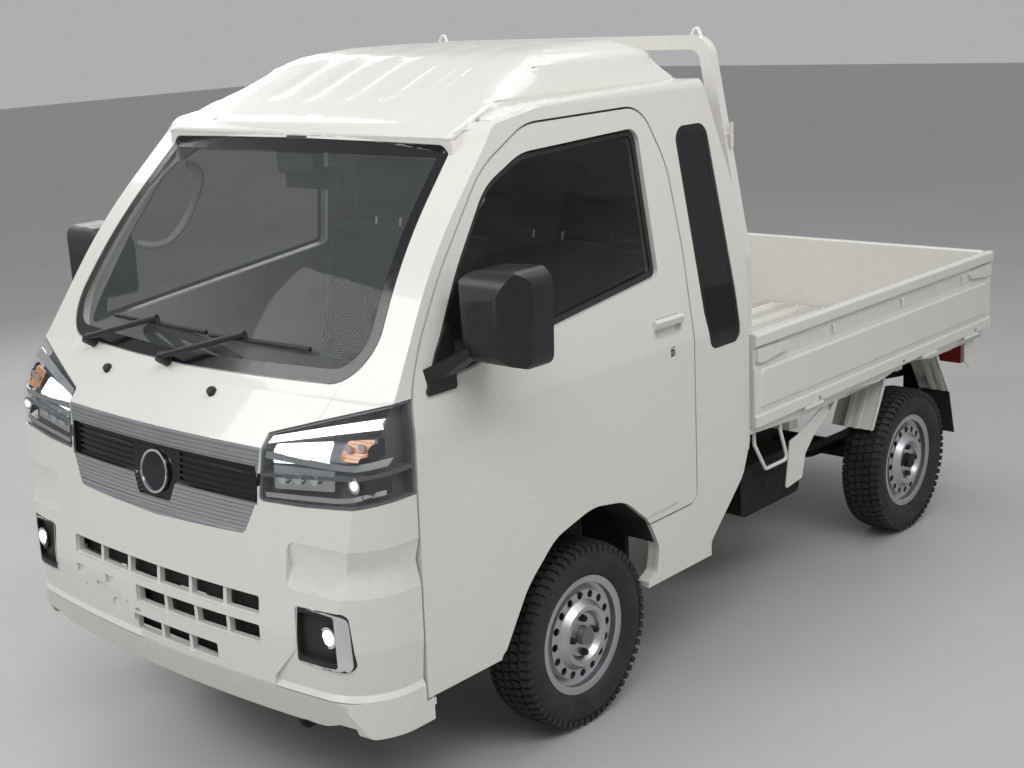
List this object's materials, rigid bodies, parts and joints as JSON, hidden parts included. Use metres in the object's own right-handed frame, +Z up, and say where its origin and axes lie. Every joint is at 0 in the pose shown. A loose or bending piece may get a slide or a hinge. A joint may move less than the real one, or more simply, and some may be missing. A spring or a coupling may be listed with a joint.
{
  "type": "kei truck with extended cab",
  "caption": "Small forward-control pickup truck with an extended high-roof cab, a drop-side bed with a guard frame, opening doors, steering and rolling wheels.",
  "frame": {"origin": "on the ground, below the middle of the overall box", "axes": "+Z up, -Y to the truck's front, +X to the truck's left"},
  "size_m": [1.8634, 3.395, 1.863],
  "materials": {
    "body_paint": "gloss",
    "screen_glass": "gloss",
    "dark_glass": "gloss",
    "black_plastic": "textured",
    "grille_finish": "satin",
    "lamp_clear": "gloss",
    "lamp_red": "gloss",
    "cabin_plastic": "textured",
    "seat_cloth": "woven",
    "chassis_paint": "satin",
    "wheel_paint": "satin",
    "tyre_rubber": "matte",
    "cast_metal": "cast",
    "pipe_steel": "satin"
  },
  "bodies": {
    "truck": {"chassis_frame": "chassis_paint", "cab_floor": "body_paint", "hood": "body_paint", "front_bumper": "body_paint", "grille": "grille_finish", "front_lamps": "lamp_clear", "windscreen": "screen_glass", "wipers": "black_plastic", "roof": "body_paint", "left_cab_side": "body_paint", "right_cab_side": "body_paint", "cab_back": "body_paint", "cab_windows": "dark_glass", "dashboard": "cabin_plastic", "seats": "seat_cloth", "bed_floor": "body_paint", "guard_frame": "body_paint", "tail_lamps": "lamp_red", "mudguards": "black_plastic", "front_suspension": "chassis_paint", "rear_axle": "chassis_paint", "leaf_springs": "chassis_paint", "engine": "cast_metal", "fuel_tank": "chassis_paint", "exhaust": "pipe_steel"},
    "steering_wheel": {"steering_wheel": "cabin_plastic"},
    "left_knuckle": {"left_knuckle": "cast_metal"},
    "right_knuckle": {"right_knuckle": "cast_metal"},
    "left_door": {"left_door": "body_paint", "left_door_glass": "dark_glass", "left_mirror": "black_plastic"},
    "right_door": {"right_door": "body_paint", "right_door_glass": "dark_glass", "right_mirror": "black_plastic"},
    "left_gate": {"left_gate": "body_paint"},
    "right_gate": {"right_gate": "body_paint"},
    "tailgate": {"tailgate": "body_paint"},
    "front_left_wheel": {"front_left_rim": "wheel_paint", "front_left_tyre": "tyre_rubber"},
    "front_right_wheel": {"front_right_rim": "wheel_paint", "front_right_tyre": "tyre_rubber"},
    "rear_left_wheel": {"rear_left_rim": "wheel_paint", "rear_left_tyre": "tyre_rubber"},
    "rear_right_wheel": {"rear_right_rim": "wheel_paint", "rear_right_tyre": "tyre_rubber"}
  },
  "joints": [
    {"name": "steering_turn", "type": "hinge", "parent": "truck", "child": "steering_wheel", "pos_m": [-0.345, -1.215, 1.01], "axis": [0, 0.6157, 0.788], "range_deg": [-540, 540]},
    {"name": "left_steer", "type": "hinge", "parent": "truck", "child": "left_knuckle", "pos_m": [0.6, -0.82, 0.17], "axis": [-0.1744, 0, 0.9847], "range_deg": [-35, 35]},
    {"name": "front_left_roll", "type": "hinge", "parent": "left_knuckle", "child": "front_left_wheel", "pos_m": [0.6525, -0.82, 0.264], "axis": [1, 0, 0], "continuous": true},
    {"name": "rear_left_roll", "type": "hinge", "parent": "truck", "child": "rear_left_wheel", "pos_m": [0.65, 1.08, 0.264], "axis": [1, 0, 0], "continuous": true},
    {"name": "left_door_swing", "type": "hinge", "parent": "truck", "child": "left_door", "pos_m": [0.734, -1.438, 0.8], "axis": [0, 0, -1], "range_deg": [0, 65]},
    {"name": "left_gate_drop", "type": "hinge", "parent": "truck", "child": "left_gate", "pos_m": [0.7285, 0.85, 0.643], "axis": [0, 1, 0], "range_deg": [0, 175]},
    {"name": "right_steer", "type": "hinge", "parent": "truck", "child": "right_knuckle", "pos_m": [-0.6, -0.82, 0.17], "axis": [0.1744, 0, 0.9847], "range_deg": [-35, 35]},
    {"name": "front_right_roll", "type": "hinge", "parent": "right_knuckle", "child": "front_right_wheel", "pos_m": [-0.6525, -0.82, 0.264], "axis": [1, 0, 0], "continuous": true},
    {"name": "rear_right_roll", "type": "hinge", "parent": "truck", "child": "rear_right_wheel", "pos_m": [-0.65, 1.08, 0.264], "axis": [1, 0, 0], "continuous": true},
    {"name": "right_door_swing", "type": "hinge", "parent": "truck", "child": "right_door", "pos_m": [-0.734, -1.438, 0.8], "axis": [0, 0, 1], "range_deg": [0, 65]},
    {"name": "right_gate_drop", "type": "hinge", "parent": "truck", "child": "right_gate", "pos_m": [-0.7285, 0.85, 0.643], "axis": [0, -1, 0], "range_deg": [0, 175]},
    {"name": "tailgate_drop", "type": "hinge", "parent": "truck", "child": "tailgate", "pos_m": [0, 1.6885, 0.643], "axis": [-1, 0, 0], "range_deg": [0, 175]}
  ],
  "couplings": [
    {"joint": "left_steer", "follows": "steering_turn", "ratio": 0.0648},
    {"joint": "right_steer", "follows": "steering_turn", "ratio": 0.0648}
  ]
}
